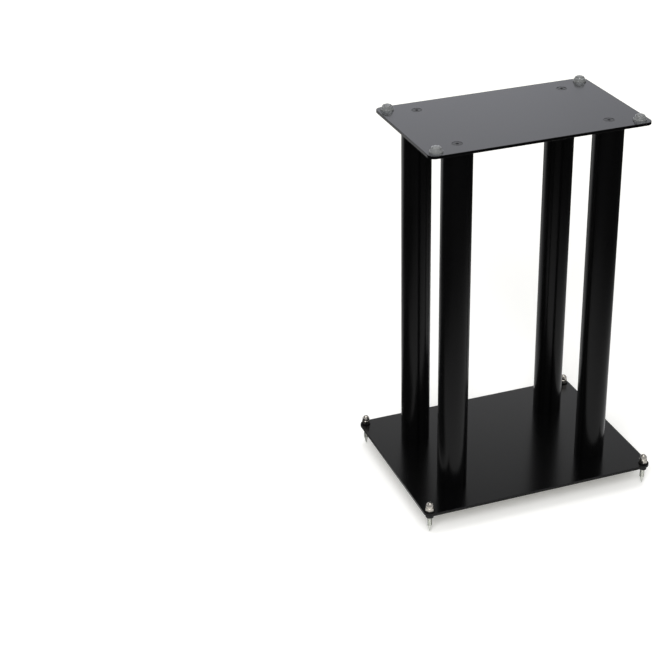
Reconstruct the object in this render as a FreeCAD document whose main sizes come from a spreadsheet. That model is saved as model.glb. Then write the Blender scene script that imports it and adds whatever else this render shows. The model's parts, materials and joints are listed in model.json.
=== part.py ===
import FreeCAD, Part
import math
import os
import Sketcher

# Four-column loudspeaker stand: two steel plates held apart by four round tubes,
# on four levelling spikes. +Z is up, +X runs to the viewer's right and -Y is the
# front. The origin lies on the floor, midway between the spike tips.

doc = FreeCAD.newDocument("speaker_stand")

# Driving dimensions, in mm
SIZES = {
    # base plate
    "base_width": 418,
    "base_depth": 314,
    "base_thickness": 5,
    "base_corner": 12,
    "base_lift": 36,            # floor to the plate's underside
    # top plate
    "top_width": 380,
    "top_depth": 232,
    "top_thickness": 5,
    "top_corner": 12,
    "plate_edge_round": 0.6,
    # columns, and the plugs welded into their ends
    "column_length": 610,
    "column_diameter": 50,
    "column_wall": 2,
    "column_pitch_x": 260,
    "column_pitch_y": 160,
    "plug_thickness": 14,
    "plug_fit": 0.05,           # plug to tube, on the radius
    # countersunk socket screws, through the plates into the plugs
    "screw_shank": 8,
    "screw_head": 16,
    "screw_head_rim": 0.3,
    "screw_length": 16,
    "screw_point": 1,
    "socket_flats": 5,
    "socket_depth": 3,
    "sink_mouth": 17.2,         # diameter of the countersink at the plate's face
    "screw_hole": 8.4,
    "thread_lead_in": 1,
    "thread_fit": 0.05,         # thread to its nut or plug, on the radius
    # levelling spikes
    "spike_diameter": 8,
    "spike_cone": 14,
    "spike_tip": 0.8,
    "spike_end_chamfer": 1,
    "spike_inset": 10.4,        # axis to the base plate's edges
    "spike_hole": 9,
    "stud_engagement": 7,       # length of stud inside the dome nut
    "level_travel": 3,          # up or down from the middle setting
    "stud_end_gap": 1,          # left over the stud when the spike is fully up
    # hexagon nuts and washers on the spikes
    "nut_flats": 13,
    "nut_height": 6.5,
    "nut_face": 12.2,           # round face that the corner chamfer leaves
    "dome_diameter": 12.5,
    "dome_crown": 4,            # metal over the blind thread
    "washer_diameter": 16,
    "washer_bore": 8.4,
    "washer_thickness": 1.6,
    # clear bumper pads under the loudspeaker
    "pad_inset": 16.5,          # axis to the top plate's edges
    "pad_flange": 22,
    "pad_flange_height": 2.6,
    "pad_ledge": 1,             # flange left bare round the dome's foot
    "pad_crown": 17,
    "pad_height": 9,
    "pad_crown_round": 3.5,
    "pad_flange_round": 0.7,
}

sheet = doc.addObject("Spreadsheet::Sheet", "Size")
for row, (alias, value) in enumerate(SIZES.items(), start=1):
    sheet.set(f"A{row}", alias)
    sheet.set(f"B{row}", str(value))
    sheet.setAlias(f"B{row}", alias)
doc.recompute()

# side of the stand that each corner is on, along X and Y
CORNERS = {
    "front_left": ("-", "-"),
    "front_right": ("", "-"),
    "rear_left": ("-", ""),
    "rear_right": ("", ""),
}

# heights that several pieces share
BASE_TOP = "(Size.base_lift + Size.base_thickness)"
COLUMN_TOP = f"({BASE_TOP} + Size.column_length)"
STAND_TOP = f"({COLUMN_TOP} + Size.top_thickness)"

# how far a countersunk head's face lies below the plate's face when it is seated
HEAD_RECESS = "((Size.sink_mouth - Size.screw_head) / 2 - Size.screw_head_rim)"

UPSIDE_DOWN = FreeCAD.Rotation(FreeCAD.Vector(1, 0, 0), 180)

# edges shorter than this along an axis count as square to it
FLAT = 1e-4


# Places on the plates, as expressions along X and Y

def column_place(corner):
    side_x, side_y = CORNERS[corner]
    return f"{side_x}Size.column_pitch_x / 2", f"{side_y}Size.column_pitch_y / 2"


def inset_place(corner, width, depth, inset):
    side_x, side_y = CORNERS[corner]
    return f"{side_x}({width} / 2 - {inset})", f"{side_y}({depth} / 2 - {inset})"


def spike_place(corner):
    return inset_place(corner, "Size.base_width", "Size.base_depth", "Size.spike_inset")


def pad_place(corner):
    return inset_place(corner, "Size.top_width", "Size.top_depth", "Size.pad_inset")


# Bodies and sketches

def new_body(name):
    body = doc.addObject("PartDesign::Body", name)
    body.Label = name
    return body


def put(body, x, y, z, rotation=None):
    """Places a piece at heights and offsets given as expressions."""
    if rotation:
        body.Placement = FreeCAD.Placement(FreeCAD.Vector(), rotation)
    for axis, expression in zip("xyz", (x, y, z)):
        body.setExpression(f"Placement.Base.{axis}", expression)


def new_sketch(body, plane_role, name):
    plane = next(item for item in body.Origin.OriginFeatures if item.Role == plane_role)
    sketch = body.newObject("Sketcher::SketchObject", f"{body.Name}_{name}")
    sketch.AttachmentSupport = [(plane, "")]
    sketch.MapMode = "FlatFace"
    return sketch


def constrain_coordinate(sketch, kind, geometry, vertex, expression):
    """Holds one coordinate of a point; a leading minus puts it on the other side."""
    if expression == "0":
        zero_axis = {"DistanceX": -2, "DistanceY": -1}[kind]
        sketch.addConstraint(Sketcher.Constraint("PointOnObject", geometry, vertex, zero_axis))
        return
    ends = [-1, 1, geometry, vertex]
    if expression.startswith("-"):
        ends = [geometry, vertex, -1, 1]
    index = sketch.addConstraint(Sketcher.Constraint(kind, *ends, 1.0))
    sketch.setExpression(f"Constraints[{index}]", expression.removeprefix("-"))


def constrain_point(sketch, geometry, vertex, x, y):
    constrain_coordinate(sketch, "DistanceX", geometry, vertex, x)
    constrain_coordinate(sketch, "DistanceY", geometry, vertex, y)


def draw_outline(sketch, points):
    """Closed outline of straight lines; each point is a pair of expressions."""
    first = sketch.GeometryCount
    count = len(points)
    step = FreeCAD.Rotation(FreeCAD.Vector(0, 0, 1), 360 / count)
    corner = FreeCAD.Vector(10, 0, 0)
    for _ in points:
        following = step.multVec(corner)
        sketch.addGeometry(Part.LineSegment(corner, following))
        corner = following
    for index, (x, y) in enumerate(points):
        line = first + index
        line_before = first + (index - 1) % count
        sketch.addConstraint(Sketcher.Constraint("Coincident", line_before, 2, line, 1))
        constrain_point(sketch, line, 1, x, y)


def draw_circle(sketch, x, y, radius):
    circle = sketch.addGeometry(Part.Circle(FreeCAD.Vector(), FreeCAD.Vector(0, 0, 1), 1))
    if (x, y) == ("0", "0"):
        sketch.addConstraint(Sketcher.Constraint("Coincident", circle, 3, -1, 1))
    else:
        constrain_point(sketch, circle, 3, x, y)
    index = sketch.addConstraint(Sketcher.Constraint("Radius", circle, 1.0))
    sketch.setExpression(f"Constraints[{index}]", radius)


def draw_domed_column(sketch, radius, foot, dome_centre):
    """Right half of an upright bar that ends in a quarter circle."""
    guess_radius, guess_height = 6, 9
    corners = [
        FreeCAD.Vector(0, guess_height + guess_radius, 0),
        FreeCAD.Vector(0, 0, 0),
        FreeCAD.Vector(guess_radius, 0, 0),
        FreeCAD.Vector(guess_radius, guess_height, 0),
    ]
    axis_line, foot_line, side_line = (
        sketch.addGeometry(Part.LineSegment(start, end))
        for start, end in zip(corners, corners[1:])
    )
    circle = Part.Circle(FreeCAD.Vector(0, guess_height, 0), FreeCAD.Vector(0, 0, 1), guess_radius)
    dome = sketch.addGeometry(Part.ArcOfCircle(circle, 0, math.pi / 2))
    loop = [axis_line, foot_line, side_line, dome]
    for before, after in zip(loop, loop[1:] + loop[:1]):
        sketch.addConstraint(Sketcher.Constraint("Coincident", before, 2, after, 1))
    constrain_point(sketch, foot_line, 1, "0", foot)
    constrain_point(sketch, side_line, 1, radius, foot)
    constrain_point(sketch, dome, 3, "0", dome_centre)
    constrain_point(sketch, dome, 1, radius, dome_centre)
    constrain_coordinate(sketch, "DistanceX", axis_line, 1, "0")


def draw_hexagon(sketch, flats):
    """Hexagon about the origin, with two of its flats along X."""
    corner = f"{flats} / sqrt(3)"
    half_corner = f"{flats} / sqrt(12)"
    flat = f"{flats} / 2"
    points = [
        (corner, "0"),
        (half_corner, flat),
        (f"-{half_corner}", flat),
        (f"-{corner}", "0"),
        (f"-{half_corner}", f"-{flat}"),
        (half_corner, f"-{flat}"),
    ]
    draw_outline(sketch, points)


# Features

def extrude(body, sketch, length, downwards=False):
    pad = body.newObject("PartDesign::Pad", f"{sketch.Name}_pad")
    pad.Profile = sketch
    pad.setExpression("Length", length)
    pad.Reversed = downwards
    return pad


def cut(body, sketch, depth, upwards=False):
    pocket = body.newObject("PartDesign::Pocket", f"{sketch.Name}_cut")
    pocket.Profile = sketch
    pocket.setExpression("Length", depth)
    pocket.Reversed = upwards
    return pocket


def turn(body, sketch, kind="Revolution"):
    """Full turn of a sketch about its vertical axis, added or cut away."""
    turned = body.newObject(f"PartDesign::{kind}", f"{sketch.Name}_turned")
    turned.Profile = sketch
    turned.ReferenceAxis = (sketch, ["V_Axis"])
    turned.Angle = 360
    return turned


def round_edges(body, feature, radius, wanted):
    """Rounds the feature's edges for which the test called wanted is true."""
    doc.recompute()
    names = [
        f"Edge{number}"
        for number, edge in enumerate(feature.Shape.Edges, start=1)
        if wanted(edge)
    ]
    fillet = body.newObject("PartDesign::Fillet", f"{feature.Name}_round")
    fillet.Base = (feature, names)
    fillet.setExpression("Radius", radius)
    return fillet


def is_upright(edge):
    return edge.BoundBox.XLength < FLAT and edge.BoundBox.YLength < FLAT


def is_level(edge):
    return edge.BoundBox.ZLength < FLAT


# Plates

def build_plate(name, width, depth, thickness, corner):
    """Plate with its outer face at z = 0, its thickness below and countersunk holes."""
    body = new_body(name)
    outline = new_sketch(body, "XY_Plane", "outline")
    half_width = f"{width} / 2"
    half_depth = f"{depth} / 2"
    points = [
        (half_width, f"-{half_depth}"),
        (half_width, half_depth),
        (f"-{half_width}", half_depth),
        (f"-{half_width}", f"-{half_depth}"),
    ]
    draw_outline(outline, points)
    slab = extrude(body, outline, thickness, downwards=True)
    cornered = round_edges(body, slab, corner, is_upright)
    round_edges(body, cornered, "Size.plate_edge_round", is_level)

    centres = new_sketch(body, "XY_Plane", "screw_centres")
    for corner_name in CORNERS:
        x, y = column_place(corner_name)
        draw_circle(centres, x, y, "Size.screw_hole / 2")
    doc.recompute()
    holes = body.newObject("PartDesign::Hole", f"{name}_screw_holes")
    holes.Profile = centres
    holes.ThreadType = "None"
    holes.DepthType = "ThroughAll"
    holes.HoleCutType = "Countersink"
    holes.HoleCutCountersinkAngle = 90
    holes.setExpression("Diameter", "Size.screw_hole")
    holes.setExpression("HoleCutDiameter", "Size.sink_mouth")
    return body


def build_top_plate():
    size = ["Size.top_width", "Size.top_depth", "Size.top_thickness", "Size.top_corner"]
    body = build_plate("top_plate", *size)
    put(body, "0", "0", STAND_TOP)


def build_base_plate():
    size = ["Size.base_width", "Size.base_depth", "Size.base_thickness", "Size.base_corner"]
    body = build_plate("base_plate", *size)
    spike_holes = new_sketch(body, "XY_Plane", "spike_holes")
    for corner in CORNERS:
        x, y = spike_place(corner)
        draw_circle(spike_holes, x, y, "Size.spike_hole / 2")
    cut(body, spike_holes, "Size.base_thickness")
    put(body, "0", "0", "Size.base_lift", UPSIDE_DOWN)


# Columns

def build_column(corner):
    body = new_body(f"column_{corner}")
    section = new_sketch(body, "XY_Plane", "section")
    draw_circle(section, "0", "0", "Size.column_diameter / 2")
    draw_circle(section, "0", "0", "Size.column_diameter / 2 - Size.column_wall")
    extrude(body, section, "Size.column_length")
    put(body, *column_place(corner), BASE_TOP)


def build_plug(name, corner, height, rotation=None):
    """Tapped disc with its outer face at z = 0, flush with the tube's end."""
    body = new_body(f"{name}_{corner}")
    rim = "Size.column_diameter / 2 - Size.column_wall - Size.plug_fit"
    bore = "Size.screw_shank / 2 + Size.thread_fit"
    half_section = new_sketch(body, "XZ_Plane", "half_section")
    points = [
        (f"{bore} + Size.thread_lead_in", "0"),
        (rim, "0"),
        (rim, "-Size.plug_thickness"),
        (bore, "-Size.plug_thickness"),
        (bore, "-Size.thread_lead_in"),
    ]
    draw_outline(half_section, points)
    turn(body, half_section)
    put(body, *column_place(corner), height, rotation)


def build_screw(name, corner, height, rotation=None):
    """Countersunk socket screw with its head's face at z = 0, pointing down."""
    body = new_body(f"{name}_{corner}")
    head = "Size.screw_head / 2"
    shank = "Size.screw_shank / 2"
    half_section = new_sketch(body, "XZ_Plane", "half_section")
    points = [
        ("0", "0"),
        (head, "0"),
        (head, "-Size.screw_head_rim"),
        (shank, f"-(Size.screw_head_rim + {head} - {shank})"),
        (shank, "-(Size.screw_length - Size.screw_point)"),
        (f"{shank} - Size.screw_point", "-Size.screw_length"),
        ("0", "-Size.screw_length"),
    ]
    draw_outline(half_section, points)
    turn(body, half_section)
    socket = new_sketch(body, "XY_Plane", "socket")
    draw_hexagon(socket, "Size.socket_flats")
    cut(body, socket, "Size.socket_depth")
    put(body, *column_place(corner), height, rotation)


# Levelling spikes, nuts and washers

def build_spike(corner):
    """Pointed stud, from its tip on the floor to its end inside the dome nut."""
    body = new_body(f"spike_{corner}")
    stud = "Size.spike_diameter / 2"
    stud_end = f"({BASE_TOP} + Size.washer_thickness + Size.stud_engagement)"
    half_section = new_sketch(body, "XZ_Plane", "half_section")
    points = [
        ("0", "0"),
        ("Size.spike_tip / 2", "0"),
        (stud, "Size.spike_cone"),
        (stud, f"{stud_end} - Size.spike_end_chamfer"),
        (f"{stud} - Size.spike_end_chamfer", stud_end),
        ("0", stud_end),
    ]
    draw_outline(half_section, points)
    turn(body, half_section)
    put(body, *spike_place(corner), "0")


def cut_corner_chamfers(body):
    """Takes the hexagon's sharp corners off at the heights 0 and nut_height."""
    reach = "Size.nut_flats"
    face = "Size.nut_face / 2"
    rise = f"({reach} - {face}) * tan(30 deg)"
    chamfers = new_sketch(body, "XZ_Plane", "chamfers")
    lower = [(face, "0"), (reach, "0"), (reach, rise)]
    upper = [(face, "Size.nut_height"), (reach, f"Size.nut_height - {rise}"), (reach, "Size.nut_height")]
    draw_outline(chamfers, lower)
    draw_outline(chamfers, upper)
    turn(body, chamfers, "Groove")


def build_lock_nut(corner):
    """Plain hexagon nut, up against the base plate's underside."""
    body = new_body(f"lock_nut_{corner}")
    section = new_sketch(body, "XY_Plane", "section")
    draw_hexagon(section, "Size.nut_flats")
    draw_circle(section, "0", "0", "Size.spike_diameter / 2 + Size.thread_fit")
    extrude(body, section, "Size.nut_height")
    cut_corner_chamfers(body)
    put(body, *spike_place(corner), "Size.base_lift - Size.nut_height")


def build_washer(corner):
    body = new_body(f"washer_{corner}")
    section = new_sketch(body, "XY_Plane", "section")
    draw_circle(section, "0", "0", "Size.washer_diameter / 2")
    draw_circle(section, "0", "0", "Size.washer_bore / 2")
    extrude(body, section, "Size.washer_thickness")
    put(body, *spike_place(corner), BASE_TOP)


def build_dome_nut(corner):
    """Hexagon nut with a round cap over its blind thread."""
    body = new_body(f"dome_nut_{corner}")
    section = new_sketch(body, "XY_Plane", "section")
    draw_hexagon(section, "Size.nut_flats")
    extrude(body, section, "Size.nut_height")
    cut_corner_chamfers(body)

    thread_depth = "(Size.stud_engagement + Size.level_travel + Size.stud_end_gap)"
    dome = "Size.dome_diameter / 2"
    dome_centre = f"({thread_depth} + Size.dome_crown - {dome})"
    cap = new_sketch(body, "XZ_Plane", "cap")
    draw_domed_column(cap, dome, "Size.nut_height / 2", dome_centre)
    turn(body, cap)

    thread = new_sketch(body, "XY_Plane", "thread")
    draw_circle(thread, "0", "0", "Size.spike_diameter / 2 + Size.thread_fit")
    cut(body, thread, thread_depth, upwards=True)
    put(body, *spike_place(corner), f"{BASE_TOP} + Size.washer_thickness")


# Bumper pads

def build_pad(corner):
    """Domed pad: a thin flange stuck to the plate and a wide, tapering dome."""
    body = new_body(f"pad_{corner}")
    half_section = new_sketch(body, "XZ_Plane", "half_section")
    points = [
        ("0", "0"),
        ("Size.pad_flange / 2", "0"),
        ("Size.pad_flange / 2", "Size.pad_flange_height"),
        ("Size.pad_flange / 2 - Size.pad_ledge", "Size.pad_flange_height"),
        ("Size.pad_crown / 2", "Size.pad_height"),
        ("0", "Size.pad_height"),
    ]
    draw_outline(half_section, points)
    blank = turn(body, half_section)
    doc.recompute()
    extent = blank.Shape.BoundBox

    def is_crown_edge(edge):
        return edge.BoundBox.ZMin > extent.ZMax - FLAT

    def is_flange_edge(edge):
        return is_level(edge) and edge.BoundBox.XMax > extent.XMax - FLAT and edge.BoundBox.ZMin > FLAT

    crowned = round_edges(body, blank, "Size.pad_crown_round", is_crown_edge)
    round_edges(body, crowned, "Size.pad_flange_round", is_flange_edge)
    put(body, *pad_place(corner), STAND_TOP)


# The whole stand

build_base_plate()
build_top_plate()
for corner in CORNERS:
    build_column(corner)
    build_plug("lower_plug", corner, BASE_TOP, UPSIDE_DOWN)
    build_plug("upper_plug", corner, COLUMN_TOP)
    build_screw("base_screw", corner, f"Size.base_lift + {HEAD_RECESS}", UPSIDE_DOWN)
    build_screw("top_screw", corner, f"{STAND_TOP} - {HEAD_RECESS}")
    build_spike(corner)
    build_lock_nut(corner)
    build_washer(corner)
    build_dome_nut(corner)
    build_pad(corner)
doc.recompute()

CUTS = ("PartDesign::Pocket", "PartDesign::Groove", "PartDesign::Hole")
for item in doc.Objects:
    if "Invalid" in item.State or "Error" in item.State:
        raise RuntimeError(f"{item.Label} failed to build: {item.State}")
    if item.TypeId in CUTS and item.Shape.Volume >= item.BaseFeature.Shape.Volume:
        raise RuntimeError(f"{item.Label} cuts nothing away")

os.makedirs("parts", exist_ok=True)
for body in doc.findObjects("PartDesign::Body"):
    if body.Shape.isNull() or not body.Shape.isValid():
        raise RuntimeError(f"{body.Label} has no valid shape")
    body.Shape.exportStep(f"parts/{body.Label}.step")
    print(f"{body.Label}: {body.Shape.Volume:.1f} mm3")
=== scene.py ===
import json
import math

import bmesh
import bpy
from mathutils import Matrix, Vector


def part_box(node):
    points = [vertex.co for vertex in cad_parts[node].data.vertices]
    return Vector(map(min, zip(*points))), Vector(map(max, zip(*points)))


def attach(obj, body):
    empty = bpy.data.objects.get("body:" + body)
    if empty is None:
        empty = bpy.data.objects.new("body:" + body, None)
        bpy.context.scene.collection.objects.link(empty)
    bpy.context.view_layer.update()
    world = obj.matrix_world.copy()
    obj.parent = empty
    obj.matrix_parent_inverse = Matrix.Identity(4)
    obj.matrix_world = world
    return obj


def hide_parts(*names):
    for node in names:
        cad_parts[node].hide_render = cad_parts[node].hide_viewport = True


# Four-column loudspeaker stand, dressed on its solids. Lengths are in metres.

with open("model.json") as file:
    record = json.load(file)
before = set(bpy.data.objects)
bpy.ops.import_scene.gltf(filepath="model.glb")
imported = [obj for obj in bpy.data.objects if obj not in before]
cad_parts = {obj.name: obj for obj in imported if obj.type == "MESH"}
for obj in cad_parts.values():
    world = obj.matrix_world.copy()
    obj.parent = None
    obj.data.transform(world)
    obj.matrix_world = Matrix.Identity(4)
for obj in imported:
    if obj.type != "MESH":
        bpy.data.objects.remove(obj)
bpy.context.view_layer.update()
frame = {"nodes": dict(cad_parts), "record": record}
mm = 0.001
corners = ["front_left", "front_right", "rear_left", "rear_right"]
print("frame loaded:", len(frame["nodes"]), "nodes")


# Shader maths

class Field:
    # a node's output that takes part in Python arithmetic
    def __init__(self, recipe, socket):
        self.recipe = recipe
        self.socket = socket

    def maths(self, operation, first, second):
        return self.recipe.node("ShaderNodeMath", {"operation": operation}, {0: first, 1: second})

    def __add__(self, other):
        return self.maths("ADD", self, other)

    def __radd__(self, other):
        return self.maths("ADD", other, self)

    def __sub__(self, other):
        return self.maths("SUBTRACT", self, other)

    def __rsub__(self, other):
        return self.maths("SUBTRACT", other, self)

    def __mul__(self, other):
        return self.maths("MULTIPLY", self, other)

    def __rmul__(self, other):
        return self.maths("MULTIPLY", other, self)

    def other(self, name):
        # another output of the same node
        return Field(self.recipe, self.socket.node.outputs[name])

    def clipped(self, low, high):
        # 0 below low, 1 above high, smooth between them
        return self.recipe.node(
            "ShaderNodeMapRange",
            {"interpolation_type": "SMOOTHSTEP"},
            {"Value": self, "From Min": low, "From Max": high},
        )


class Recipe:
    # a node tree that is filled in one node at a time
    def __init__(self, owner):
        owner.use_nodes = True
        self.tree = owner.node_tree

    def feed(self, socket, value):
        if isinstance(value, Field):
            self.tree.links.new(value.socket, socket)
        else:
            socket.default_value = value

    def node(self, kind, settings=None, values=None, output=0):
        made = self.tree.nodes.new(kind)
        for name, setting in (settings or {}).items():
            setattr(made, name, setting)
        for name, value in (values or {}).items():
            self.feed(made.inputs[name], value)
        return Field(self, made.outputs[output] if made.outputs else None)

    def noise(self, place, size, detail=2.0):
        # uneven field from 0 to 1, whose lumps are about that size
        return self.node(
            "ShaderNodeTexNoise", None, {"Vector": place, "Scale": 1 / size, "Detail": detail}
        )

    def blendColours(self, factor, first, second):
        return self.node(
            "ShaderNodeMix", {"data_type": "RGBA"}, {0: factor, 6: first, 7: second}, output=2
        )

    def bump(self, height, distance):
        return self.node("ShaderNodeBump", None, {"Height": height, "Distance": distance})

    def objectPlace(self):
        return self.node("ShaderNodeTexCoord", output=3)

    def split(self, vector):
        # its x, with y and z as the other outputs
        return self.node("ShaderNodeSeparateXYZ", None, {"Vector": vector})


def newMaterial(name, uniform, varied):
    # uniform values go on the shader itself; varied(recipe, place) returns linked ones
    material = bpy.data.materials.new(name)
    recipe = Recipe(material)
    shader = recipe.tree.nodes["Principled BSDF"]
    place = recipe.objectPlace()
    for socket, value in uniform.items():
        shader.inputs[socket].default_value = value
    for socket, field in varied(recipe, place).items():
        recipe.feed(shader.inputs[socket], field)
    return material


# Finishes

powderCoat = {
    "black": (0.0008, 0.0008, 0.0009, 1),
    "worn": (0.0030, 0.0030, 0.0032, 1),
    "peel": 1.4 * mm,           # size of the coat's orange peel
    "peelDepth": 0.004 * mm,
    "cloud": 90 * mm,           # size of the slow change in sheen
    "dust": 7 * mm,
    "dustShown": (0.55, 0.85),  # noise values between which dust sets in
    "dustShare": 0.35,
    "dustRoughness": 0.04,
    "levelFaces": (0.5, 0.95),  # squares of the upward part of the normal
    "specular": 0.20,
}
plateCoat = {"roughness": 0.19, "spread": 0.02, "gloss": 0.49}
tubeCoat = {"roughness": 0.22, "spread": 0.03, "gloss": 0.0}


def coatMaterial(name, coat):
    # gloss is the clear layer's share on level faces; upright faces and edges have none
    def varied(recipe, place):
        peel = recipe.noise(place, powderCoat["peel"])
        cloud = recipe.noise(place, powderCoat["cloud"], detail=3.0)
        dust = recipe.noise(place, powderCoat["dust"], detail=5.0)
        dusty = dust.clipped(*powderCoat["dustShown"])
        facing = recipe.node("ShaderNodeTexCoord", output=1)
        upward = recipe.split(facing).other("Z")
        level = (upward * upward).clipped(*powderCoat["levelFaces"])
        shade = powderCoat["dustShare"] * dusty
        uneven = coat["spread"] * (cloud - 0.5) + powderCoat["dustRoughness"] * dusty
        return {
            "Base Color": recipe.blendColours(shade, powderCoat["black"], powderCoat["worn"]),
            "Coat Weight": coat["gloss"] * level,
            "Roughness": coat["roughness"] + uneven,
            "Normal": recipe.bump(peel, powderCoat["peelDepth"]),
        }
    uniform = {"Specular IOR Level": powderCoat["specular"], "Coat Roughness": coat["roughness"]}
    return newMaterial(name, uniform, varied)


chromePlate = {
    "nutBright": (0.49, 0.465, 0.42, 1),
    "nutDull": (0.38, 0.355, 0.315, 1),
    # the spikes' copy is painted lighter than the nuts', for the bright floor they mirror
    "spikeLitBright": (0.78, 0.79, 0.74, 1),
    "spikeLitDull": (0.62, 0.63, 0.58, 1),
    "roughness": 0.18,
    "smear": 3 * mm,
    "smearShown": (0.4, 0.8),
    "smearShare": 0.6,
    "smearRoughness": 0.10,
    "toolMark": 0.35 * mm,
    "toolStretch": (0.02, 0.02, 1),     # the marks run round the piece
    "toolDepth": 0.0012 * mm,
}


def chromeMaterial(name, bright, dull):
    def varied(recipe, place):
        smear = recipe.noise(place, chromePlate["smear"], detail=4.0)
        smeared = smear.clipped(*chromePlate["smearShown"])
        stretched = recipe.node(
            "ShaderNodeMapping", None, {"Vector": place, "Scale": chromePlate["toolStretch"]}
        )
        marks = recipe.noise(stretched, chromePlate["toolMark"])
        return {
            "Base Color": recipe.blendColours(chromePlate["smearShare"] * smeared, bright, dull),
            "Roughness": chromePlate["roughness"] + chromePlate["smearRoughness"] * smeared,
            "Normal": recipe.bump(marks, chromePlate["toolDepth"]),
        }
    return newMaterial(name, {"Metallic": 1.0}, varied)


blackZinc = {
    "dark": (0.004, 0.004, 0.0045, 1),
    "rubbed": (0.030, 0.029, 0.028, 1),
    "roughness": 0.18,
    "metallic": 0.3,
    "specular": 0.3,
    "rub": 2.2 * mm,
    "rubShown": (0.55, 0.8),
    "rubShare": 0.5,
    "rubRoughness": 0.15,
    "pit": 0.4 * mm,
    "pitDepth": 0.003 * mm,
}


def zincMaterial():
    def varied(recipe, place):
        rub = recipe.noise(place, blackZinc["rub"], detail=5.0).clipped(*blackZinc["rubShown"])
        pits = recipe.noise(place, blackZinc["pit"])
        shade = blackZinc["rubShare"] * rub
        return {
            "Base Color": recipe.blendColours(shade, blackZinc["dark"], blackZinc["rubbed"]),
            "Roughness": blackZinc["roughness"] + blackZinc["rubRoughness"] * rub,
            "Normal": recipe.bump(pits, blackZinc["pitDepth"]),
        }
    uniform = {"Metallic": blackZinc["metallic"], "Specular IOR Level": blackZinc["specular"]}
    return newMaterial("black zinc", uniform, varied)


blackOxide = {
    "dark": (0.030, 0.030, 0.032, 1),
    "bare": (0.12, 0.12, 0.12, 1),
    "roughness": 0.36,
    "metallic": 0.3,
    "wear": 1.5 * mm,
    "wearShown": (0.6, 0.85),
    "wearShare": 0.6,
    "wearRoughness": 0.12,
    "grain": 0.3 * mm,
    "grainDepth": 0.002 * mm,
}


def oxideMaterial():
    def varied(recipe, place):
        wear = recipe.noise(place, blackOxide["wear"], detail=4.0).clipped(*blackOxide["wearShown"])
        grain = recipe.noise(place, blackOxide["grain"])
        shade = blackOxide["wearShare"] * wear
        return {
            "Base Color": recipe.blendColours(shade, blackOxide["dark"], blackOxide["bare"]),
            "Roughness": blackOxide["roughness"] + blackOxide["wearRoughness"] * wear,
            "Normal": recipe.bump(grain, blackOxide["grainDepth"]),
        }
    return newMaterial("black oxide", {"Metallic": blackOxide["metallic"]}, varied)


turnedSteel = {
    "light": (0.50, 0.49, 0.48, 1),
    "dark": (0.36, 0.35, 0.34, 1),
    "roughness": 0.34,
    "roughnessSpread": 0.12,
    "patch": 6 * mm,
    "groove": 0.3 * mm,
    "grooveDepth": 0.004 * mm,
}


def steelMaterial():
    def varied(recipe, place):
        patch = recipe.noise(place, turnedSteel["patch"], detail=4.0)
        groove = recipe.noise(place, turnedSteel["groove"])
        uneven = turnedSteel["roughnessSpread"] * (patch - 0.5)
        return {
            "Base Color": recipe.blendColours(patch, turnedSteel["light"], turnedSteel["dark"]),
            "Roughness": turnedSteel["roughness"] + uneven,
            "Normal": recipe.bump(groove, turnedSteel["grooveDepth"]),
        }
    return newMaterial("turned steel", {"Metallic": 1.0}, varied)


clearRubber = {
    "clear": (0.86, 0.88, 0.87, 1),
    "hazy": (0.66, 0.68, 0.67, 1),
    "roughness": 0.07,
    "hazeRoughness": 0.08,
    "transmission": 0.84,
    "refraction": 1.40,
    "haze": 4 * mm,
    "ripple": 2 * mm,
    "rippleDepth": 0.006 * mm,
}


def rubberMaterial():
    def varied(recipe, place):
        haze = recipe.noise(place, clearRubber["haze"], detail=3.0)
        ripple = recipe.noise(place, clearRubber["ripple"])
        return {
            "Base Color": recipe.blendColours(haze, clearRubber["clear"], clearRubber["hazy"]),
            "Roughness": clearRubber["roughness"] + clearRubber["hazeRoughness"] * haze,
            "Normal": recipe.bump(ripple, clearRubber["rippleDepth"]),
        }
    uniform = {"Transmission Weight": clearRubber["transmission"], "IOR": clearRubber["refraction"]}
    return newMaterial("clear rubber", uniform, varied)


finishes = {
    "satin_black_plate": coatMaterial("plate coat", plateCoat),
    "satin_black_tube": coatMaterial("tube coat", tubeCoat),
    "plain_steel": steelMaterial(),
    "black_screw": oxideMaterial(),
    "bright_chrome": chromeMaterial("nut chrome", chromePlate["nutBright"], chromePlate["nutDull"]),
    "black_zinc": zincMaterial(),
    "clear_rubber": rubberMaterial(),
}
# the spikes share the nuts' slot; their chrome is a lighter copy, painted light that stands in for
# the bright floor they mirror
spikeChromePaintedLight = chromeMaterial("spike chrome painted lighter", chromePlate["spikeLitBright"], chromePlate["spikeLitDull"])
print("finishes made:", len(finishes) + 1)


# The solids that keep their own shape

for part in frame["record"]["subparts"]:
    solid = frame["nodes"][part["node"]]
    solid.data.materials.clear()
    solid.data.materials.append(finishes[part["material_slot"]])
print("solids finished")


# Shaping

shaping = {
    "merge": 0.002 * mm,
    "threadMerge": 0.01 * mm,
    "threadRise": (0.125, 0.4375),      # shares of the pitch where the ridge starts and tops out
    "threadFall": (0.5625, 0.875),
    "sharpAbove": math.radians(30),     # edges that are rounded
    "creaseAbove": math.radians(32),    # edges that are shaded sharp
}


def spinOutline(mesh, outline, steps):
    # full turn about z of (radius, height) points
    points = [mesh.verts.new((radius, 0, height)) for radius, height in outline]
    lines = [mesh.edges.new(pair) for pair in zip(points, points[1:])]
    bmesh.ops.spin(
        mesh, geom=points + lines, cent=(0, 0, 0), axis=(0, 0, 1),
        angle=2 * math.pi, steps=steps, use_merge=True,
    )
    bmesh.ops.remove_doubles(mesh, verts=mesh.verts, dist=shaping["merge"])


def roundSharpEdges(mesh, radius, segments=3, sharpness=shaping["sharpAbove"]):
    mesh.normal_update()
    sharp = [e for e in mesh.edges if e.is_manifold and e.calc_face_angle(0) > sharpness]
    bmesh.ops.bevel(
        mesh, geom=sharp, offset=radius, segments=segments, profile=0.5,
        affect="EDGES", material=-1, clamp_overlap=True,
    )


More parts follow.
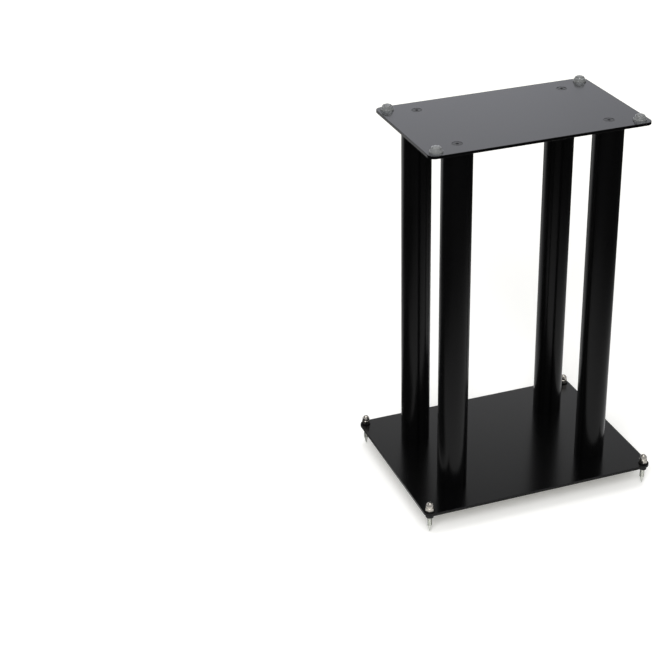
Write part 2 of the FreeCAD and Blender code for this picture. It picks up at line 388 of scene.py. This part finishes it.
def addThread(mesh, look, low, high):
    # a helical ridge from low to high, closed at both ends
    pitch = look["pitch"]
    crest = look["radius"]
    root = crest - look["depth"]
    turns = math.ceil((high - low) / pitch) + 2
    rise, top = shaping["threadRise"]
    topEnd, fall = shaping["threadFall"]
    outline = [(root, 0), (root, rise), (crest, top), (crest, topEnd), (root, fall), (root, 1)]
    points = [mesh.verts.new((radius, 0, low + pitch * (share - 1))) for radius, share in outline]
    lines = [mesh.edges.new(pair) for pair in zip(points, points[1:])]
    bmesh.ops.spin(
        mesh, geom=points + lines, cent=(0, 0, 0), axis=(0, 0, 1),
        dvec=(0, 0, pitch / look["steps"]), angle=2 * math.pi, steps=look["steps"],
    )
    firstTurn = mesh.verts[:] + mesh.edges[:] + mesh.faces[:]
    for turn in range(1, turns):
        copied = bmesh.ops.duplicate(mesh, geom=firstTurn)["geom"]
        verts = [item for item in copied if isinstance(item, bmesh.types.BMVert)]
        bmesh.ops.translate(mesh, verts=verts, vec=(0, 0, pitch * turn))
    bmesh.ops.remove_doubles(mesh, verts=mesh.verts, dist=shaping["threadMerge"])
    for height, side in ((low, -1), (high, 1)):
        everything = mesh.verts[:] + mesh.edges[:] + mesh.faces[:]
        sliced = bmesh.ops.bisect_plane(
            mesh, geom=everything, plane_co=(0, 0, height), plane_no=(0, 0, side), clear_outer=True,
        )
        rim = [item for item in sliced["geom_cut"] if isinstance(item, bmesh.types.BMEdge)]
        bmesh.ops.edgeloop_fill(mesh, edges=rim)


def joined(meshes):
    whole = bmesh.new()
    for mesh in meshes:
        bmesh.ops.recalc_face_normals(mesh, faces=mesh.faces)
        spare = bpy.data.meshes.new("spare")
        mesh.to_mesh(spare)
        mesh.free()
        whole.from_mesh(spare)
        bpy.data.meshes.remove(spare)
    return whole


def finishPiece(mesh, name, node, body, slotName, place, finish=None):
    # moves the mesh to its place, hides the solid it stands for and hangs it on its body
    bmesh.ops.recalc_face_normals(mesh, faces=mesh.faces)
    mesh.transform(place)
    data = bpy.data.meshes.new(name)
    mesh.to_mesh(data)
    mesh.free()
    data.shade_smooth()
    data.set_sharp_from_angle(angle=shaping["creaseAbove"])
    piece = bpy.data.objects.new(name, data)
    bpy.context.scene.collection.objects.link(piece)
    data.materials.append(finish or finishes[slotName])
    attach(piece, body)
    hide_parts(node)


def axisOf(node):
    low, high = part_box(node)
    return (low.x + high.x) / 2, (low.y + high.y) / 2, low.z, high.z


def radiusOf(node):
    low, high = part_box(node)
    return (high.x - low.x) / 2


# Levelling spikes

spikeLook = {
    "cone": 14 * mm,
    "tip": 0.4 * mm,
    "tipRound": 0.12 * mm,
    "radius": 3.98 * mm,
    "pitch": 1.25 * mm,
    "depth": 0.68 * mm,
    "steps": 40,
    "endChamfer": 1 * mm,
    "endInset": 0.4 * mm,
    "endSteps": 32,
    "turnSteps": 48,
}


def buildSpike(corner):
    node = f"spike_{corner}"
    x, y, low, high = axisOf(node)
    length = high - low
    base = length - spikeLook["endChamfer"]
    thread = bmesh.new()
    addThread(thread, spikeLook, spikeLook["cone"], base)
    cone = bmesh.new()
    shoulder = spikeLook["radius"]
    outline = [(0, 0), (spikeLook["tip"], 0), (shoulder, spikeLook["cone"]), (0, spikeLook["cone"])]
    spinOutline(cone, outline, spikeLook["turnSteps"])
    roundSharpEdges(cone, spikeLook["tipRound"], 2)
    core = shoulder - spikeLook["depth"]
    end = bmesh.new()
    outline = [(0, base), (core, base), (core - spikeLook["endInset"], length), (0, length)]
    spinOutline(end, outline, spikeLook["endSteps"])
    mesh = joined([thread, cone, end])
    place = Matrix.Translation((x, y, low))
    finishPiece(mesh, f"spikeStud_{corner}", node, node, "bright_chrome", place, spikeChromePaintedLight)


for corner in corners:
    buildSpike(corner)
print("spikes built")


# Washers

washerLook = {"bore": 4.2 * mm, "edgeRound": 0.22 * mm, "steps": 72}


def buildWasher(corner):
    node = f"washer_{corner}"
    x, y, low, high = axisOf(node)
    rim = radiusOf(node)
    thickness = high - low
    bore = washerLook["bore"]
    mesh = bmesh.new()
    outline = [(bore, 0), (rim, 0), (rim, thickness), (bore, thickness), (bore, 0)]
    spinOutline(mesh, outline, washerLook["steps"])
    roundSharpEdges(mesh, washerLook["edgeRound"])
    place = Matrix.Translation((x, y, low))
    finishPiece(mesh, f"washerDisc_{corner}", node, "stand", "black_zinc", place)


for corner in corners:
    buildWasher(corner)
print("washers built")


# Countersunk socket screws

screwLook = {
    "headRadius": 8 * mm,
    "headRim": 0.3 * mm,
    "shankRadius": 4 * mm,
    "socketFlats": 5 * mm,
    "socketDepth": 3 * mm,
    "socketFloor": 0.8 * mm,    # drill point under the hexagon
    "edgeRound": 0.16 * mm,
    "roundAbove": math.radians(40),
    "headSteps": 48,
    "radius": 3.98 * mm,
    "pitch": 1.25 * mm,
    "depth": 0.68 * mm,
    "steps": 32,
}


def loopEdges(mesh, radius, segments, height, turn=0.0):
    before = set(mesh.edges)
    place = Matrix.Translation((0, 0, height)) @ Matrix.Rotation(turn, 4, "Z")
    bmesh.ops.create_circle(mesh, radius=radius, segments=segments, matrix=place)
    return [e for e in mesh.edges if e not in before]


def buildScrew(node, corner, upsideDown):
    look = screwLook
    x, y, low, high = axisOf(node)
    length = high - low
    head = bmesh.new()
    hexagon = look["socketFlats"] / math.sqrt(3)
    half = math.radians(30)
    neck = -(look["headRim"] + look["headRadius"] - look["shankRadius"])
    loops = [
        loopEdges(head, hexagon, 6, -look["socketDepth"], half),
        loopEdges(head, hexagon, 6, 0, half),
        loopEdges(head, look["headRadius"], look["headSteps"], 0),
        loopEdges(head, look["headRadius"], look["headSteps"], -look["headRim"]),
        loopEdges(head, look["shankRadius"], look["headSteps"], neck),
    ]
    for upper, lower in zip(loops, loops[1:]):
        bmesh.ops.bridge_loops(head, edges=upper + lower)
    floor = bmesh.ops.edgeloop_fill(head, edges=loops[0])["faces"]
    point = bmesh.ops.poke(head, faces=floor)["verts"]
    bmesh.ops.translate(head, verts=point, vec=(0, 0, -look["socketFloor"]))
    bmesh.ops.edgeloop_fill(head, edges=loops[-1])
    roundSharpEdges(head, look["edgeRound"], 2, look["roundAbove"])
    shank = bmesh.new()
    addThread(shank, look, -length, neck)
    mesh = joined([head, shank])
    seat = Matrix.Translation((x, y, high))
    if upsideDown:
        seat = Matrix.Translation((x, y, low)) @ Matrix.Rotation(math.pi, 4, "X")
    finishPiece(mesh, node.replace("_screw_", "Screw_"), node, "stand", "black_screw", seat)


for corner in corners:
    buildScrew(f"top_screw_{corner}", corner, False)
    buildScrew(f"base_screw_{corner}", corner, True)
print("screws built")


# Clear bumper pads

padLook = {
    "flangeHeight": 2.6 * mm,
    "flangeRound": 0.65 * mm,
    "ledge": 1 * mm,            # flange left bare round the dome's foot
    "footChamfer": 0.2 * mm,
    "footFillet": 0.3 * mm,
    "crown": 8.5 * mm,
    "crownRound": 3.5 * mm,
    "crownStart": 8,            # degrees, where the sloping side meets the crown's rounding
    "lipSteps": 4,
    "filletSteps": 3,
    "crownSteps": 10,
    "steps": 64,
}


def arcPoints(centre, radius, start, end, count):
    # points on an arc in the plane of radius and height, with angles in degrees
    angles = [math.radians(start + (end - start) * i / count) for i in range(count + 1)]
    return [(centre[0] + radius * math.cos(a), centre[1] + radius * math.sin(a)) for a in angles]


def buildPad(corner):
    node = f"pad_{corner}"
    x, y, low, high = axisOf(node)
    flange = radiusOf(node)
    height = high - low
    look = padLook
    foot = flange - look["ledge"]
    chamfer = look["footChamfer"]
    lip = look["flangeRound"]
    fillet = look["footFillet"]
    rounding = look["crownRound"]
    lipCentre = (flange - lip, look["flangeHeight"] - lip)
    filletCentre = (foot + fillet, look["flangeHeight"] + fillet)
    crownCentre = (look["crown"] - rounding, height - rounding)
    outline = [(0, 0), (flange - chamfer, 0), (flange, chamfer)]
    outline += arcPoints(lipCentre, lip, 0, 90, look["lipSteps"])
    outline += arcPoints(filletCentre, fillet, 270, 180, look["filletSteps"])
    outline += arcPoints(crownCentre, rounding, look["crownStart"], 90, look["crownSteps"])
    outline.append((0, height))
    mesh = bmesh.new()
    spinOutline(mesh, outline, look["steps"])
    place = Matrix.Translation((x, y, low))
    finishPiece(mesh, f"bumper_{corner}", node, "stand", "clear_rubber", place)


for corner in corners:
    buildPad(corner)
print("pads built")


# Floor, lights and camera

studio = {
    "floorSize": 14,
    "floorWhite": (0.96, 0.96, 0.96, 1),
    # painted dark reflection: the floor's colour to glossy rays away from the stand
    "floorGlossDark": (0.042, 0.042, 0.042, 1),
    "floorGlow": 0.165,         # seen by the eye alone, never lights the stand
    "farGlow": 0.50,
    "farReach": (0.6, 3.0),
    "glowWarm": (1, 0.98, 0.86, 1),
    "paperReach": (0.0, 1.2),   # in gloss only, the white paper fades over this into a painted dark reflection
    "paperLeft": (-0.95, -0.55),
    "away": (0.447, 0.894, 0),  # from the viewer, where the white sweep goes on
    "sweepStart": (0.25, 0.75),
    "sweepSide": (-0.9, 0.6),
    "paintedShadowPlace": (-0.49, 0.17, 0),      # a painted shadow and dark reflection beside the stand, seen only in gloss
    "darkTurn": math.radians(-20.3),
    "darkHalf": (0.24, 0.22, 1),
    "darkEdge": (0.85, 1.7),            # squares of shares of its half sizes
    "darkSide": (0.8, 1.6),
    "skyWhite": (1, 1, 1, 1),
    "skyCool": (0.985, 1.0, 1.075, 1),  # the low backdrop's tint, which the top plate mirrors
    "coolTop": (0.40, 0.47),
    "skyLight": 0.44,
    "roomLight": 0.05,          # the room in front of the backdrop, in gloss
    "frontLight": 0.60,         # behind the viewer; from the front, chrome and pads show it
    "frontSide": (-0.35, 0.05),
    "ceilingLight": 0.45,
    "ceilingFoot": (0.70, 0.90),    # sines of height angles
    "backdropTop": (0.38, 0.665),
    "backdropRight": (0.40, 0.50),  # it darkens a little to the right
    "rightShade": 0.2,
    "backdropSide": (-0.25, 0.30),
}

softboxes = [
    {
        "name": "overhead", "place": (0.1, 0.2, 2.8), "aim": (0, 0, 0.3),
        "size": 2.0, "power": 30, "inGloss": True,
    },
    {
        # gloss shows a pale room in place of this one
        "name": "front", "place": (-1.30, -2.15, 1.97), "aim": (0, 0, 0),
        "size": 2.0, "power": 82, "inGloss": False,
    },
]


def buildFloor():
    mesh = bmesh.new()
    bmesh.ops.create_grid(mesh, x_segments=1, y_segments=1, size=studio["floorSize"] / 2)
    data = bpy.data.meshes.new("floor")
    mesh.to_mesh(data)
    mesh.free()
    floor = bpy.data.objects.new("floor", data)
    bpy.context.scene.collection.objects.link(floor)
    material = bpy.data.materials.new("pale floor")
    recipe = Recipe(material)
    recipe.tree.nodes.clear()
    rays = recipe.node("ShaderNodeLightPath")
    place = recipe.objectPlace()
    reach = recipe.node("ShaderNodeVectorMath", {"operation": "LENGTH"}, {0: place}, output=1)
    across = recipe.split(place)
    near = (1 - reach.clipped(*studio["paperReach"])) * across.clipped(*studio["paperLeft"])
    away = recipe.node(
        "ShaderNodeVectorMath", {"operation": "DOT_PRODUCT"},
        {0: place, 1: studio["away"]}, output=1,
    )
    sweep = away.clipped(*studio["sweepStart"]) * (1 - across.clipped(*studio["sweepSide"]))
    # painted shadow: a dark patch beside the stand, which only glossy rays see
    turned = recipe.node("ShaderNodeMapping", {"vector_type": "TEXTURE"}, {
        "Vector": place,
        "Location": studio["paintedShadowPlace"],
        "Rotation": (0, 0, studio["darkTurn"]),
        "Scale": studio["darkHalf"],
    })
    ahead = recipe.split(turned)
    beside = ahead.other("Y")
    darkAhead = 1 - (ahead * ahead).clipped(*studio["darkEdge"])
    darkBeside = 1 - (beside * beside).clipped(*studio["darkSide"])
    paper = (1 - (1 - near) * (1 - sweep)) * (1 - darkAhead * darkBeside)
    # painted reflection: glossy rays see the floor dark outside the white paper and on the painted
    # shadow beside the stand
    glossDarkening = rays.other("Is Glossy Ray") * (1 - paper)
    colour = recipe.blendColours(glossDarkening, studio["floorWhite"], studio["floorGlossDark"])
    surface = recipe.node("ShaderNodeBsdfDiffuse", None, {"Color": colour})
    far = reach.clipped(*studio["farReach"])
    strength = (studio["floorGlow"] + studio["farGlow"] * far) * rays
    glow = recipe.node(
        "ShaderNodeEmission", None, {"Color": studio["glowWarm"], "Strength": strength}
    )
    both = recipe.node("ShaderNodeAddShader", None, {0: surface, 1: glow})
    recipe.node("ShaderNodeOutputMaterial", None, {"Surface": both})
    data.materials.append(material)


def buildSky():
    world = bpy.data.worlds.new("studio")
    bpy.context.scene.world = world
    recipe = Recipe(world)
    recipe.tree.nodes.clear()
    camera = recipe.node("ShaderNodeLightPath")
    gloss = camera.other("Is Glossy Ray")
    through = camera.other("Is Transmission Ray")
    shown = (camera + gloss + through).clipped(0.0, 1.0)    # 0 for light that spreads
    rightwards = recipe.split(recipe.node("ShaderNodeTexCoord"))
    inwards = rightwards.other("Y")
    upwards = rightwards.other("Z")
    behind = inwards.clipped(*studio["backdropSide"])
    below = 1 - upwards.clipped(*studio["backdropTop"])
    shade = studio["rightShade"] * rightwards.clipped(*studio["backdropRight"])
    backdrop = behind * below * (1 - shade)
    ceiling = studio["ceilingLight"] * upwards.clipped(*studio["ceilingFoot"])
    front = studio["frontLight"] * (1 - inwards.clipped(*studio["frontSide"]))
    room = studio["roomLight"] + (1 - studio["roomLight"]) * backdrop + ceiling + front
    seen = camera + (1 - camera) * room
    strength = studio["skyLight"] * (1 - shown) + shown * seen
    cool = gloss * (1 - upwards.clipped(*studio["coolTop"]))
    colour = recipe.blendColours(cool, studio["skyWhite"], studio["skyCool"])
    sky = recipe.node("ShaderNodeBackground", None, {"Color": colour, "Strength": strength})
    recipe.node("ShaderNodeOutputWorld", None, {"Surface": sky})


def buildSoftbox(box):
    lamp = bpy.data.lights.new(box["name"], "AREA")
    lamp.size = box["size"]
    lamp.energy = box["power"]
    holder = bpy.data.objects.new(box["name"], lamp)
    holder.location = box["place"]
    holder.visible_glossy = box["inGloss"]
    aim = Vector(box["aim"]) - Vector(box["place"])
    holder.rotation_euler = aim.to_track_quat("-Z", "Y").to_euler()
    bpy.context.scene.collection.objects.link(holder)


eye = {
    "place": (-1.0470, -2.1047, 1.5317),
    "tilt": 64.118,             # angles in degrees
    "heading": -17.775,
    "roll": -1.933,
    "sensor": 36,               # lens and sensor in millimetres
    "lens": 84.005,
    "shift": (0.0578, -0.1025),
}


def buildCamera():
    data = bpy.data.cameras.new("eye")
    data.sensor_width = eye["sensor"]
    data.lens = eye["lens"]
    data.shift_x, data.shift_y = eye["shift"]
    camera = bpy.data.objects.new("eye", data)
    turn = Matrix.Rotation(math.radians(eye["heading"]), 4, "Z")
    turn = turn @ Matrix.Rotation(math.radians(eye["tilt"]), 4, "X")
    turn = turn @ Matrix.Rotation(math.radians(eye["roll"]), 4, "Z")
    camera.matrix_world = Matrix.Translation(eye["place"]) @ turn
    bpy.context.scene.collection.objects.link(camera)
    bpy.context.scene.camera = camera


buildFloor()
buildSky()
for box in softboxes:
    buildSoftbox(box)
buildCamera()
bpy.context.scene.view_settings.view_transform = "Standard"
print("studio set")
